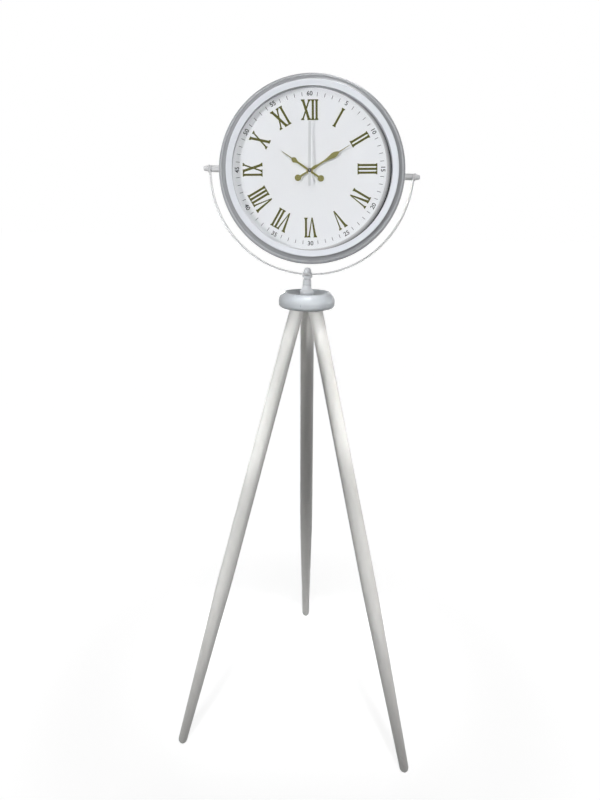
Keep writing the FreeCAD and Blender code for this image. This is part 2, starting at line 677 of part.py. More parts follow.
def middle_plate():
    """Bridge between the two stacks of wheels, with bearings for the rotor, step and third arbors."""
    half = MOVEMENT_SIDE / 2 - MOVEMENT_WALL - 0.1
    body = block((-half, -10.5, PLATE_LAYER[0]), (half, 13.0, PLATE_LAYER[1]))
    body = body.cut(rod(1.0, 0, MOVEMENT_FRONT))
    body = body.cut(rod(SET_ARBOR + RUNNING, 0, MOVEMENT_FRONT, *MOTION_CENTRE))
    for centre in (THIRD_CENTRE, STEP_CENTRE, ROTOR_CENTRE):
        body = body.cut(rod(ARBOR + RUNNING, 0, MOVEMENT_FRONT, *centre))
    return body


def movement_washer():
    return pipe(11.0, BUSH_RADIUS + RUNNING, MOVEMENT_FRONT, DIAL_BACK)


def movement_nut():
    return hexagon(12.0, DIAL_FRONT, DIAL_FRONT + 2.0, BUSH_RADIUS + RUNNING)


COIL_LINE = (20.2, 8.9)
COIL_SPAN = (-21.0, -4.6)
STATOR_LAYER = (7.5, 8.3)


def stator():
    """Soft-iron plate round the rotor, with two arms up to the coil's core."""
    left, right = COIL_SPAN
    low, high = STATOR_LAYER
    top = COIL_LINE[0] + 1.8
    body = block((left, 3.2, low), (right, 12.4, high))
    body = body.fuse([block((left, 12.4, low), (left + 4.0, top, high)),
                      block((right - 4.0, 12.4, low), (right, top, high))])
    return body.cut(rod(3.5, low - 1.0, high + 1.0, *ROTOR_CENTRE))


def coil_bobbin():
    """Core bar on the stator's arms, with a flange at each end of the winding."""
    left, right = COIL_SPAN
    y, z = COIL_LINE
    core = block((left, y - 1.8, STATOR_LAYER[1]), (right, y + 1.8, STATOR_LAYER[1] + 1.2))
    flange = lambda x: block((x, y - 4.0, STATOR_LAYER[1]), (x + 0.8, y + 4.0, z + 4.0))
    return core.fuse([flange(left + 4.2), flange(right - 5.0)])


def coil_winding():
    left, right = COIL_SPAN
    y, z = COIL_LINE
    around = Part.makeCylinder(3.6, right - left - 10.1, vec(left + 5.05, y, z), X_AXIS)
    hole = block((left, y - 1.85, STATOR_LAYER[1] - 0.05), (right, y + 1.85, STATOR_LAYER[1] + 1.25))
    return around.cut(hole)


BOARD = ((13.5, -9.5, 5.0), (25.5, 24.0, 6.0))


def circuit_board():
    """Board with its chip under a dome of resin."""
    board = block(*BOARD)
    top = BOARD[1][2]
    dome = turned((0, top), (3.0, top), ((2.3, top + 0.8), (POINT_FLAT, top + 1.2)), (0, top + 1.2))
    return board.fuse(dome.translated(vec(19.5, 0, 0)))


def crystal():
    return Part.makeCylinder(1.0, 6.0, vec(16.5, 17.0, BOARD[1][2] + 1.0), X_AXIS)


def battery():
    """Round cell with its raised positive cap."""
    y, z = BATTERY_LINE
    body = turned((0, 0), (6.4, 0), ((6.9, 0.2), (BATTERY_RADIUS, 0.7)),
                  (BATTERY_RADIUS, BATTERY_LENGTH - 1.9),
                  ((6.9, BATTERY_LENGTH - 1.4), (6.4, BATTERY_LENGTH - 1.2)),
                  (2.7, BATTERY_LENGTH - 1.2), (2.7, BATTERY_LENGTH), (0, BATTERY_LENGTH))
    return body.rotated(ORIGIN, Y_AXIS, 90).translated(vec(-BATTERY_LENGTH / 2, y, z))


def battery_contacts():
    """Thin metal plates at the ends of the cell."""
    y, z = BATTERY_LINE
    reach = BATTERY_LENGTH / 2 + RUNNING
    tab = lambda x: block((x, y - 4.5, z - 5.0), (x + 0.5, y + 4.5, z + 5.0))
    return Part.makeCompound([tab(-reach - 0.5), tab(reach)])


# Hands, drawn pointing to twelve and then turned to their hour

def hand(back, bore, stem, leaf, length):
    """Spade hand: round boss, stem, leaf, fine needle, and a disc on the tail."""
    front = back + HAND_THICKNESS
    start, widest, end = leaf
    early = start + (widest - start) * 0.55
    late = widest + (end - widest) * 0.6
    slim = stem + (HAND_SPADE - stem) * 0.4
    full = HAND_SPADE * 0.75
    blade = plate(back, front, (-stem, 0), (-stem, start), ((-slim, early), (-HAND_SPADE, widest)),
                  ((-full, late), (-HAND_NEEDLE, end)), (-HAND_POINT, length), (HAND_POINT, length),
                  (HAND_NEEDLE, end), ((full, late), (HAND_SPADE, widest)),
                  ((slim, early), (stem, start)), (stem, 0))
    tail = block((-stem, -COUNTERWEIGHT_PLACE, back), (stem, 0, front))
    weight = rod(COUNTERWEIGHT, back, front, 0, -COUNTERWEIGHT_PLACE)
    body = blade.fuse([tail, weight, rod(bore + 2.4, back, front)]).removeSplitter()
    return body.cut(rod(bore, back - 1.0, front + 1.0))


def hour_hand():
    body = hand(HOUR_HAND_BACK, HOUR_TUBE, HOUR_STEM, HOUR_LEAF, HOUR_HAND_LENGTH)
    return body.rotated(ORIGIN, Z_AXIS, -HOUR_ANGLE)


def minute_hand():
    """The longer hand, with a small swelling on its stem beside the boss."""
    back = MINUTE_HAND_BACK
    stem = MINUTE_STEM
    body = hand(back, MINUTE_TUBE, stem, MINUTE_LEAF, MINUTE_HAND_LENGTH)
    swelling = plate(back, back + HAND_THICKNESS, (-stem, 5.0), ((-MINUTE_SWELLING, 12.0), (-stem, 19.0)),
                     (stem, 19.0), ((MINUTE_SWELLING, 12.0), (stem, 5.0)))
    return body.fuse(swelling).removeSplitter().rotated(ORIGIN, Z_AXIS, -MINUTE_ANGLE)


def hand_nut():
    low = MINUTE_HAND_BACK + HAND_THICKNESS
    return pipe(2.6, MINUTE_TUBE, low, low + 1.0)


def second_hand():
    """Narrow strip with a small cap that sits on the second arbor."""
    back = SECOND_HAND_BACK
    half = SECOND_HAND_WIDTH / 2
    strip = block((-half, -SECOND_HAND_TAIL, back), (half, SECOND_HAND_LENGTH, back + 0.4))
    cap = turned((0, back), (SECOND_CAP, back), (SECOND_CAP, back + 0.7),
                 ((0.75 * SECOND_CAP, back + 1.2), (POINT_FLAT, back + 1.4)), (0, back + 1.4))
    body = strip.fuse(cap).cut(rod(SECOND_ARBOR, back - 1.0, back + 0.4))
    return body.rotated(ORIGIN, Z_AXIS, -SECOND_ANGLE)


# Assembly

STAND_NODES = {"hub": hub, "leg_bolts": leg_bolts, "leg_inserts": leg_inserts}
UPPER_NODES = {"post": post, "post_stud": post_stud, "post_insert": post_insert, "yoke_stud": yoke_stud,
               "yoke_washers": yoke_washers, "finial": finial, "yoke": yoke}
HEAD_NODES = {"pivot_spacers": pivot_spacers, "pivot_washers": pivot_washers, "pivot_studs": pivot_studs,
              "pivot_nuts": pivot_nuts, "pivot_knobs": pivot_knobs}
CASE_NODES = {"case_drum": case_drum, "case_ring": case_ring, "bezel": bezel, "glass": glass,
              "spacer_ring": spacer_ring, "dial_felt": dial_felt, "dial": dial, "back_cover": back_cover,
              "back_screws": back_screws}
DIAL_NODES = {"movement_front": movement_front, "movement_back": movement_back, "middle_plate": middle_plate,
              "movement_washer": movement_washer, "movement_nut": movement_nut, "rotor": rotor,
              "step_wheel": step_wheel, "second_wheel": second_wheel, "third_wheel": third_wheel,
              "minute_wheel": minute_wheel, "motion_wheel": motion_wheel, "hour_wheel": hour_wheel,
              "set_knob": set_knob, "stator": stator, "coil_bobbin": coil_bobbin,
              "coil_winding": coil_winding, "circuit_board": circuit_board, "crystal": crystal,
              "battery": battery, "battery_contacts": battery_contacts, "hour_hand": hour_hand,
              "minute_hand": minute_hand, "hand_nut": hand_nut, "second_hand": second_hand}


def assembly():
    """Every node in one frame: Z up from the floor, X and Y from under the post's hub, dial towards -Y."""
    nodes = {name: make() for name, make in STAND_NODES.items()}
    nodes.update({name: leg(azimuth) for name, azimuth in LEG_AZIMUTHS.items()})
    for group, place in ((UPPER_NODES, UPPER), (HEAD_NODES, HEAD), (CASE_NODES, CASE), (DIAL_NODES, DIAL)):
        nodes.update({name: placed(make(), place) for name, make in group.items()})
    return nodes


def to_origin(nodes):
    """The shift that brings the middle of the whole clock's box over the origin."""
    box = FreeCAD.BoundBox()
    for shape in nodes.values():
        box.add(shape.optimalBoundingBox(False, False))
    return vec(-box.Center.x, -box.Center.y, -box.ZMin), box


def main():
    nodes = assembly()
    shift, box = to_origin(nodes)
    os.makedirs("parts", exist_ok=True)
    for name, shape in nodes.items():
        shape.translated(shift).exportStep("parts/%s.step" % name)
    print("nodes", len(nodes), "size", box.XLength, box.YLength, box.ZLength, "shift", shift)
    print("post axis", UPPER.Base + shift, UPPER.Rotation.multVec(Z_AXIS))
    print("tilt axis", HEAD.Base + shift, HEAD.Rotation.multVec(X_AXIS))
    for name, centre in (("hands", (0.0, 0.0)), ("third", THIRD_CENTRE), ("step", STEP_CENTRE),
                         ("motion", MOTION_CENTRE), ("rotor", ROTOR_CENTRE)):
        print(name, "axis", DIAL.multVec(vec(*centre, DIAL_FRONT)) + shift, DIAL.Rotation.multVec(-Z_AXIS))
    for name, azimuth in LEG_AZIMUTHS.items():
        foot = leg_place(azimuth).Base + shift
        print(name, "rest", foot.x, foot.y)


main()
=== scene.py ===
"""Looks of the tripod floor clock: camera, light, procedural finishes and the dial's print."""
import bpy
import bmesh
import json
import math
from mathutils import Matrix, Vector


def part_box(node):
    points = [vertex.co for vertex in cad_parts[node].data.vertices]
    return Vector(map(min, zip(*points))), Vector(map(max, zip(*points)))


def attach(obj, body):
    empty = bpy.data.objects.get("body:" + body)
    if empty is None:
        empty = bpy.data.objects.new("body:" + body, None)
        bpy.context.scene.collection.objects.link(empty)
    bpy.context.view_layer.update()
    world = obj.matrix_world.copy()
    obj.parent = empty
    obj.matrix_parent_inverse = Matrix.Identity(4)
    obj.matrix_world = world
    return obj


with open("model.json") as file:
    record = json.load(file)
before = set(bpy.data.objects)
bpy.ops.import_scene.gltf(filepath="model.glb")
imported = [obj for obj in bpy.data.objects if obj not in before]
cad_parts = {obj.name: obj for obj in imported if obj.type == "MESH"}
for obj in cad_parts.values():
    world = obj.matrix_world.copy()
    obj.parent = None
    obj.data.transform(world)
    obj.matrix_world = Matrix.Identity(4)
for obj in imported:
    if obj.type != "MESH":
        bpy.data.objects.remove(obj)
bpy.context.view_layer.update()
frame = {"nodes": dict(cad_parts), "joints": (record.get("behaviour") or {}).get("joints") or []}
NODES = frame["nodes"]
JOINTS = {joint["name"]: joint for joint in frame["joints"]}
MM = 0.001
WHITE = (1.0, 1.0, 1.0, 1.0)

# Camera, measured from the floor under the hub's axis
IMAGE_HEIGHT = 800
FOCAL_PIXELS = 525.6
CENTRE_RISE = 70
SENSOR_WIDTH = 36.0
CAMERA_PLACE = Vector((-0.01388, -1.13291, 1.22439))
CAMERA_PITCH = math.radians(12.17)
CAMERA_ROLL = math.radians(1.09)

# World and floor, metres. Both are white where they are seen and give the object only a faint fill.
WORLD_FILL = 0.085
FLOOR_REACH = 30.0
FLOOR_GREY = (0.22, 0.22, 0.22, 1.0)
GLOW_RADII = (0.35, 0.70)
GLOW_LEVELS = (0.88, 0.985)

# What the lamps are aimed at, metres
STAND_X = 0.016
HEAD = (0.02, -0.10, 1.32)
HEAD_BACK = (0.02, -0.05, 1.33)
MOULDING = (STAND_X, -0.085, 1.34)
LEG_TOPS = (STAND_X, -0.08, 0.995)
UPPER_LEGS = (STAND_X, -0.106, 0.83)
MIDDLE_LEGS = (STAND_X, -0.146, 0.50)
LOWER_LEGS = (STAND_X, -0.190, 0.12)
LEG_BACKS = (STAND_X, -0.05, 0.55)
HALF_HEIGHT = (STAND_X, -0.05, 0.78)
WHOLE_BACK = (0.02, 0.0, 0.8)

# Bands and spots of colour, millimetres. A pair is where the colour starts to fade and where it is gone.
# Painted shade in the moulding's cove and a painted highlight along its bead
RING_COVE_SHADE = (182.0, 182.8)
BEAD_HIGHLIGHT_INNER = 182.2
BEAD_HIGHLIGHT_OUTER = 185.6
BEAD_HIGHLIGHT_FADE = 0.6
# Painted half-shadow on the felt, pale at the edge of the dial's disc
FELT_HALF_SHADOW = (161.5, 170.5)
CAP_HEIGHT = 7.6
CAP_RADII = (3.7, 4.2)
CAP_MIDDLE = (0.9, 1.5)
NICK_FROM_AXIS = 13.5
NICK_FROM_FRONT = 2.5
NICK_FROM_BELOW = 12.5
NICK_STEPS = (-2.0, -0.7, 0.7, 2.0)
NICK_RADII = (0.7, 1.3)

# Dial print, millimetres. Its middle lies a little off the hands' axis.
DIAL_TURN = math.radians(2.8)
DEGREES_PER_MINUTE = 6.0
PRINT_SHIFT = (1.1, 3.0)
PRINT_THICKNESS = 0.12
PRINT_LIFT = 0.01
LAYER_STEP = 0.004
NUMERAL_INNER = 96.5
NUMERAL_OUTER = 136.8
TRACK_RADIUS = 147.3
TICK_LENGTH = 7.7
TICK_WIDTH = 1.1
DIGIT_RADIUS = 148.5
DIGIT_HEIGHT = 9.1
DIGIT_WEIGHT = 0.022
TURNED_FIGURES = range(20, 41)
SERIF = 1.8
THICK = 5.2
THIN = 3.2
PLAIN = 4.4
ROMAN = ["XII", "I", "II", "III", "IV", "V", "VI", "VII", "VIII", "IX", "X", "XI"]
GLYPH_WIDTH = {"I": 7.5, "V": 18.0, "X": 20.0}

# Each stroke: x at the top, x at the bottom, width, and the share of that width at its foot
STROKES = {
    "I": [(0.0, 0.0, PLAIN, 1.0)],
    "V": [(-6.3, 0.2, THICK, 0.5), (6.7, 0.6, THIN, 0.5)],
    "X": [(-6.5, 6.4, THICK, 1.0), (6.6, -6.7, THIN, 1.0)],
}

# Each serif: x, 1 at the top or -1 at the bottom, width, and the width of its stroke
SERIFS = {
    "I": [(0.0, 1, 7.4, PLAIN), (0.0, -1, 7.4, PLAIN)],
    "V": [(-6.3, 1, 7.8, THICK), (6.7, 1, 6.6, THIN)],
    "X": [(-6.5, 1, 7.6, THICK), (6.6, 1, 6.8, THIN), (6.4, -1, 7.6, THICK), (-6.7, -1, 6.8, THIN)],
}


# Frames

def middle(name):
    """Middle of a node's box."""
    low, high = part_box(name)
    return (Vector(low) + Vector(high)) / 2


def hub_axis():
    """Where the hub's axis meets the floor."""
    centre = middle("hub")
    return Vector((centre.x, centre.y, 0.0))


def leg_direction(name):
    """From a leg's middle up to the hub's axis."""
    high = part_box(name)[1]
    top = hub_axis() + Vector((0.0, 0.0, high[2]))
    return (top - middle(name)).normalized()


def dial_matrix():
    """Frame of the dial's front: X to three o'clock, Y to twelve, Z to the viewer."""
    joint = JOINTS["second_hand_turn"]
    towards = -Vector(joint["axis"]).normalized()
    across = Matrix.Rotation(DIAL_TURN, 3, towards) @ Vector(JOINTS["head_tilt"]["axis"]).normalized()
    upward = towards.cross(across)
    matrix = Matrix((across, upward, towards)).transposed().to_4x4()
    matrix.translation = Vector(joint["pos_m"])
    return matrix


DIAL = dial_matrix()
PRINT = DIAL @ Matrix.Translation((PRINT_SHIFT[0] * MM, PRINT_SHIFT[1] * MM, 0.0))


# Camera, world and floor

def add_camera():
    """Level camera, pitched down and then rolled."""
    ahead = Vector((0.0, math.cos(CAMERA_PITCH), -math.sin(CAMERA_PITCH)))
    right = Vector((1.0, 0.0, 0.0))
    up = right.cross(ahead)
    rolled_right = right * math.cos(CAMERA_ROLL) + up * math.sin(CAMERA_ROLL)
    rolled_up = up * math.cos(CAMERA_ROLL) - right * math.sin(CAMERA_ROLL)
    data = bpy.data.cameras.new("camera")
    data.sensor_width = SENSOR_WIDTH
    data.lens = FOCAL_PIXELS / IMAGE_HEIGHT * SENSOR_WIDTH
    data.shift_y = -CENTRE_RISE / IMAGE_HEIGHT
    data.clip_end = 100.0
    camera = bpy.data.objects.new("camera", data)
    bpy.context.scene.collection.objects.link(camera)
    matrix = Matrix((rolled_right, rolled_up, -ahead)).transposed().to_4x4()
    matrix.translation = hub_axis() + CAMERA_PLACE
    camera.matrix_world = matrix
    bpy.context.scene.camera = camera


def seen_directly(tree):
    """1 for what the camera sees straight, in gloss or through glass."""
    path = tree.nodes.new("ShaderNodeLightPath")
    seen = path.outputs["Is Camera Ray"]
    for kind in ("Is Glossy Ray", "Is Transmission Ray"):
        either = tree.nodes.new("ShaderNodeMath")
        either.operation = "MAXIMUM"
        tree.links.new(seen, either.inputs[0])
        tree.links.new(path.outputs[kind], either.inputs[1])
        seen = either.outputs[0]
    return seen


def add_world():
    """White where it is seen, and a faint fill otherwise."""
    world = bpy.data.worlds.new("studio")
    world.use_nodes = True
    tree = world.node_tree
    background = tree.nodes["Background"]
    background.inputs["Color"].default_value = WHITE
    strength = tree.nodes.new("ShaderNodeMapRange")
    strength.inputs["To Min"].default_value = WORLD_FILL
    strength.inputs["To Max"].default_value = 1.0
    tree.links.new(seen_directly(tree), strength.inputs["Value"])
    tree.links.new(strength.outputs[0], background.inputs["Strength"])
    bpy.context.scene.world = world


def floor_white():
    """Matt grey that takes the shadow, with a white glow where it is seen, a little less near the feet."""
    material = bpy.data.materials.new("floor_white")
    material.use_nodes = True
    tree = material.node_tree
    shader = tree.nodes["Principled BSDF"]
    shader.inputs["Base Color"].default_value = FLOOR_GREY
    shader.inputs["Roughness"].default_value = 0.9
    shader.inputs["Specular IOR Level"].default_value = 0.0
    shader.inputs["Emission Color"].default_value = WHITE
    distance = tree.nodes.new("ShaderNodeVectorMath")
    distance.operation = "DISTANCE"
    distance.inputs[1].default_value = hub_axis()
    tree.links.new(tree.nodes.new("ShaderNodeTexCoord").outputs["Object"], distance.inputs[0])
    level = tree.nodes.new("ShaderNodeMapRange")
    level.inputs["From Min"].default_value = GLOW_RADII[0]
    level.inputs["From Max"].default_value = GLOW_RADII[1]
    level.inputs["To Min"].default_value = GLOW_LEVELS[0]
    level.inputs["To Max"].default_value = GLOW_LEVELS[1]
    tree.links.new(distance.outputs["Value"], level.inputs["Value"])
    glow = tree.nodes.new("ShaderNodeMath")
    glow.operation = "MULTIPLY"
    tree.links.new(seen_directly(tree), glow.inputs[0])
    tree.links.new(level.outputs["Result"], glow.inputs[1])
    tree.links.new(glow.outputs[0], shader.inputs["Emission Strength"])
    return material


def add_floor():
    """One large square."""
    reach = FLOOR_REACH
    corners = [(-reach, -reach, 0), (reach, -reach, 0), (reach, reach, 0), (-reach, reach, 0)]
    mesh = bpy.data.meshes.new("floor")
    mesh.from_pydata(corners, [], [(0, 1, 2, 3)])
    mesh.materials.append(floor_white())
    floor = bpy.data.objects.new("floor", mesh)
    bpy.context.scene.collection.objects.link(floor)


# Lamps

def add_area(name, place, target, size, power, spread, mirrored=True):
    """Softbox with a grid: width and height in metres, power in watts, full angle of its beam in degrees."""
    data = bpy.data.lights.new(name, "AREA")
    data.shape = "RECTANGLE"
    data.size = size[0]
    data.size_y = size[1]
    data.energy = power
    data.spread = math.radians(spread)
    light = bpy.data.objects.new(name, data)
    light.location = place
    light.rotation_euler = (Vector(target) - Vector(place)).to_track_quat("-Z", "Y").to_euler()
    light.visible_camera = False
    light.visible_glossy = mirrored
    bpy.context.scene.collection.objects.link(light)


def light_head():
    """Three softboxes that gloss doesn't mirror, and a narrow one from above on the moulding."""
    add_area("front", (0.35, -2.10, 1.45), HEAD, (0.50, 0.50), 0.455, 6, mirrored=False)
    add_area("high", (0.23, -1.45, 2.93), HEAD, (0.50, 0.50), 0.19, 6, mirrored=False)
    add_area("left", (-1.30, -1.15, 1.42), HEAD, (0.48, 0.48), 0.43, 6, mirrored=False)
    add_area("moulding", (0.604, 0.135, 2.58), MOULDING, (0.03, 0.38), 0.07, 3)


def light_legs():
    """Two small lamps in front for the tops of the legs, and three from above for the rest."""
    add_area("leg_tops_left", (-0.60, -1.415, 1.307), LEG_TOPS, (0.10, 0.05), 0.012, 5)
    add_area("leg_tops_right", (0.632, -1.415, 1.307), LEG_TOPS, (0.10, 0.05), 0.008, 5)
    add_area("upper_legs", (STAND_X, -0.773, 2.663), UPPER_LEGS, (0.75, 0.15), 0.52, 3)
    add_area("middle_legs", (STAND_X, -0.998, 2.255), MIDDLE_LEGS, (0.75, 0.26), 0.75, 12)
    add_area("lower_legs", (STAND_X, -1.154, 2.10), LOWER_LEGS, (0.75, 0.28), 0.43, 14)


def light_sides_and_back():
    """Level beams from behind and from both sides, and a wide soft one behind."""
    add_area("back_head", (-0.30, 2.00, 1.50), HEAD_BACK, (0.32, 0.32), 0.17, 5)
    add_area("back_legs", (-0.30, 2.20, 0.60), LEG_BACKS, (0.90, 1.05), 1.8, 8)
    add_area("right_side", (2.20, 0.50, 0.78), HALF_HEIGHT, (0.80, 1.50), 0.55, 8)
    add_area("left_side", (-2.20, 0.50, 0.78), HALF_HEIGHT, (0.80, 1.50), 0.45, 8)
    add_area("back", (0.6, 2.4, 0.9), WHOLE_BACK, (1.6, 1.6), 5.0, 120)


# Node helpers for materials

class Finish:
    """A Principled material with small helpers for procedural detail in the clock's own frame."""

    def __init__(self, name, colour, roughness, metallic=0.0, specular=0.5):
        self.material = bpy.data.materials.new(name)
        self.material.use_nodes = True
        self.tree = self.material.node_tree
        self.shader = self.tree.nodes["Principled BSDF"]
        self.shader.inputs["Base Color"].default_value = (*colour, 1.0)
        self.shader.inputs["Roughness"].default_value = roughness
        self.shader.inputs["Metallic"].default_value = metallic
        self.shader.inputs["Specular IOR Level"].default_value = specular
        self.plain = (*colour, 1.0)
        self.colour = None
        self.normal = None

    def node(self, kind):
        return self.tree.nodes.new(kind)

    def link(self, output, target):
        self.tree.links.new(output, target)

    def place(self, turn=None, stretch=(1.0, 1.0, 1.0)):
        """Object coordinates, turned so that Z follows a direction and then stretched."""
        coordinate = self.node("ShaderNodeTexCoord").outputs["Object"]
        if turn is not None:
            rotate = self.node("ShaderNodeMapping")
            rotate.inputs["Rotation"].default_value = turn.to_track_quat("Z", "Y").inverted().to_euler()
            self.link(coordinate, rotate.inputs["Vector"])
            coordinate = rotate.outputs["Vector"]
        mapping = self.node("ShaderNodeMapping")
        mapping.inputs["Scale"].default_value = stretch
        self.link(coordinate, mapping.inputs["Vector"])
        return mapping.outputs["Vector"]

    def noise(self, scale, detail=4.0, vector=None, rough=0.55):
        texture = self.node("ShaderNodeTexNoise")
        texture.inputs["Scale"].default_value = scale
        texture.inputs["Detail"].default_value = detail
        texture.inputs["Roughness"].default_value = rough
        self.link(vector or self.place(), texture.inputs["Vector"])
        return texture.outputs["Fac"]

    def ramp(self, value, low, high):
        """Value rescaled so that low becomes 0 and high 1."""
        scaled = self.node("ShaderNodeMapRange")
        scaled.inputs["From Min"].default_value = low
        scaled.inputs["From Max"].default_value = high
        self.link(value, scaled.inputs["Value"])
        return scaled.outputs["Result"]

    def times(self, a, b):
        """Product of a value and another value or a plain number."""
        product = self.node("ShaderNodeMath")
        product.operation = "MULTIPLY"
        self.link(a, product.inputs[0])
        if isinstance(b, float):
            product.inputs[1].default_value = b
        else:
            self.link(b, product.inputs[1])
        return product.outputs[0]

    def tint(self, mask, colour, amount=1.0):
        """Mixes an amount of a colour over the base where the mask is 1."""
        if amount < 1.0:
            mask = self.times(mask, amount)
        mix = self.node("ShaderNodeMix")
        mix.data_type = "RGBA"
        self.link(mask, mix.inputs["Factor"])
        if self.colour is None:
            mix.inputs["A"].default_value = self.plain
        else:
            self.link(self.colour, mix.inputs["A"])
        mix.inputs["B"].default_value = (*colour, 1.0)
        self.colour = mix.outputs["Result"]
        self.link(self.colour, self.shader.inputs["Base Color"])

    def vary_roughness(self, value, low, high):
        spread = self.node("ShaderNodeMapRange")
        spread.inputs["To Min"].default_value = low
        spread.inputs["To Max"].default_value = high
        self.link(value, spread.inputs["Value"])
        self.link(spread.outputs["Result"], self.shader.inputs["Roughness"])

    def bump(self, height, depth):
        """Adds relief of a depth in millimetres."""
        relief = self.node("ShaderNodeBump")
        relief.inputs["Strength"].default_value = 1.0
        relief.inputs["Distance"].default_value = depth * MM
        self.link(height, relief.inputs["Height"])
        if self.normal is not None:
            self.link(self.normal, relief.inputs["Normal"])
        self.normal = relief.outputs["Normal"]
        self.link(self.normal, self.shader.inputs["Normal"])

    def edges(self, radius):
        """1 near sharp edges, where a normal bevelled by a radius in millimetres leaves the real one."""
        bevel = self.node("ShaderNodeBevel")
        bevel.samples = 4
        bevel.inputs["Radius"].default_value = radius * MM
        geometry = self.node("ShaderNodeNewGeometry")
        dot = self.node("ShaderNodeVectorMath")
        dot.operation = "DOT_PRODUCT"
        self.link(bevel.outputs["Normal"], dot.inputs[0])
        self.link(geometry.outputs["Normal"], dot.inputs[1])
        return self.ramp(dot.outputs["Value"], 0.98, 0.8)

    def corners(self, reach):
        """1 deep in grooves and corners, looked for within a reach in millimetres. painted() darkens its
        paint by it as painted shade.
        """
        occlusion = self.node("ShaderNodeAmbientOcclusion")
        occlusion.samples = 8
        occlusion.inputs["Distance"].default_value = reach * MM
        return self.ramp(occlusion.outputs["AO"], 0.80, 0.40)

    def near(self, point, inner, outer):
        """1 within an inner distance of a point, fading to 0 at the outer one, in millimetres."""
        distance = self.node("ShaderNodeVectorMath")
        distance.operation = "DISTANCE"
        self.link(self.place(), distance.inputs[0])
        distance.inputs[1].default_value = point
        return self.ramp(distance.outputs["Value"], outer * MM, inner * MM)

    def band(self, point, inner, outer, fade):
        """1 between two distances from a point, with a fade inside both, in millimetres."""
        return self.times(self.near(point, outer - fade, outer), self.near(point, inner + fade, inner))

    def height(self, low, high):
        """0 at one height above the floor and 1 at another, in metres."""
        split = self.node("ShaderNodeSeparateXYZ")
        self.link(self.place(), split.inputs[0])
        return self.ramp(split.outputs["Z"], low, high)


def scaled(colour, factor):
    """Colour made darker or paler."""
    return tuple(factor * channel for channel in colour)


# Finishes

def painted(name, colour, roughness, dirt=(0.62, 0.60, 0.56)):
    """Sprayed satin paint: fine orange peel, faint clouds, rubbed edges and painted shade in its corners."""
    finish = Finish(name, colour, roughness)
    finish.tint(finish.ramp(finish.noise(7.0, 5.0), 0.45, 0.75), dirt, 0.10)
    finish.tint(finish.edges(1.2), (0.70, 0.69, 0.67), 0.12)
    # Painted shade: darker in grooves, corners and gaps between parts, where shade falls.
    finish.tint(finish.corners(4.0), (0.22, 0.23, 0.25), 0.75)
    finish.vary_roughness(finish.noise(38.0, 6.0), roughness - 0.10, roughness + 0.12)
    finish.bump(finish.noise(700.0, 2.0), 0.03)
    return finish


def painted_leg(name, direction):
    """White paint over turned wood: the grain shows as fine long relief, the foot is scuffed, and painted
    shade darkens the leg towards the floor.
    """
    finish = Finish(name, (0.80, 0.795, 0.775), 0.42)
    along = finish.place(direction, (260.0, 260.0, 7.0))
    grain = finish.noise(1.0, 6.0, along, 0.6)
    finish.tint(finish.ramp(grain, 0.5, 0.72), (0.60, 0.585, 0.55), 0.14)
    finish.tint(finish.ramp(finish.noise(5.0, 5.0), 0.42, 0.75), (0.62, 0.61, 0.58), 0.16)
    # Painted shade: darker towards the floor, standing in for the light falling off lower down.
    finish.tint(finish.height(0.42, 0.02), (0.55, 0.55, 0.535), 0.20)
    scuffs = finish.ramp(finish.noise(90.0, 7.0, None, 0.7), 0.60, 0.72)
    finish.tint(finish.times(scuffs, finish.height(0.10, 0.0)), (0.30, 0.28, 0.25))
    finish.vary_roughness(grain, 0.34, 0.55)
    finish.bump(grain, 0.08)
    finish.bump(finish.noise(500.0, 2.0), 0.02)
    return finish


def hub_paint():
    """Thicker, glossier paint on the hub, with one small nick on its front rim."""
    finish = Finish("hub_paint", (0.49, 0.52, 0.55), 0.24)
    finish.tint(finish.ramp(finish.noise(9.0, 5.0), 0.45, 0.75), (0.50, 0.50, 0.50), 0.12)
    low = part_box("hub")[0]
    front = Vector((middle("hub").x, low[1], low[2]))
    nick = front + Vector((-NICK_FROM_AXIS, NICK_FROM_FRONT, NICK_FROM_BELOW)) * MM
    for step in NICK_STEPS:
        spot = nick + Vector((0.0, 0.0, step * MM))
        finish.tint(finish.near(spot, *NICK_RADII), (0.16, 0.19, 0.24))
    finish.vary_roughness(finish.noise(45.0, 5.0), 0.16, 0.34)
    finish.bump(finish.noise(420.0, 2.0), 0.03)
    return finish


def ring_metal():
    """Pale grey satin moulding, with painted shade in its cove and a painted highlight along its bead."""
    finish = Finish("ring_metal", (0.30, 0.308, 0.32), 0.40, specular=0.25)
    centre = middle("case_ring")
    finish.tint(finish.ramp(finish.noise(14.0, 6.0), 0.42, 0.70), (0.245, 0.253, 0.265), 0.22)
    finish.tint(finish.edges(1.0), (0.48, 0.49, 0.51), 0.35)
    # Painted shade in the cove and a painted highlight along the bead.
    finish.tint(finish.near(centre, *RING_COVE_SHADE), (0.19, 0.196, 0.206), 0.35)
    finish.tint(finish.band(centre, BEAD_HIGHLIGHT_INNER, BEAD_HIGHLIGHT_OUTER, BEAD_HIGHLIGHT_FADE), (0.46, 0.47, 0.49), 0.6)
    finish.vary_roughness(finish.noise(60.0, 5.0), 0.32, 0.50)
    finish.bump(finish.noise(900.0, 2.0), 0.02)
    return finish


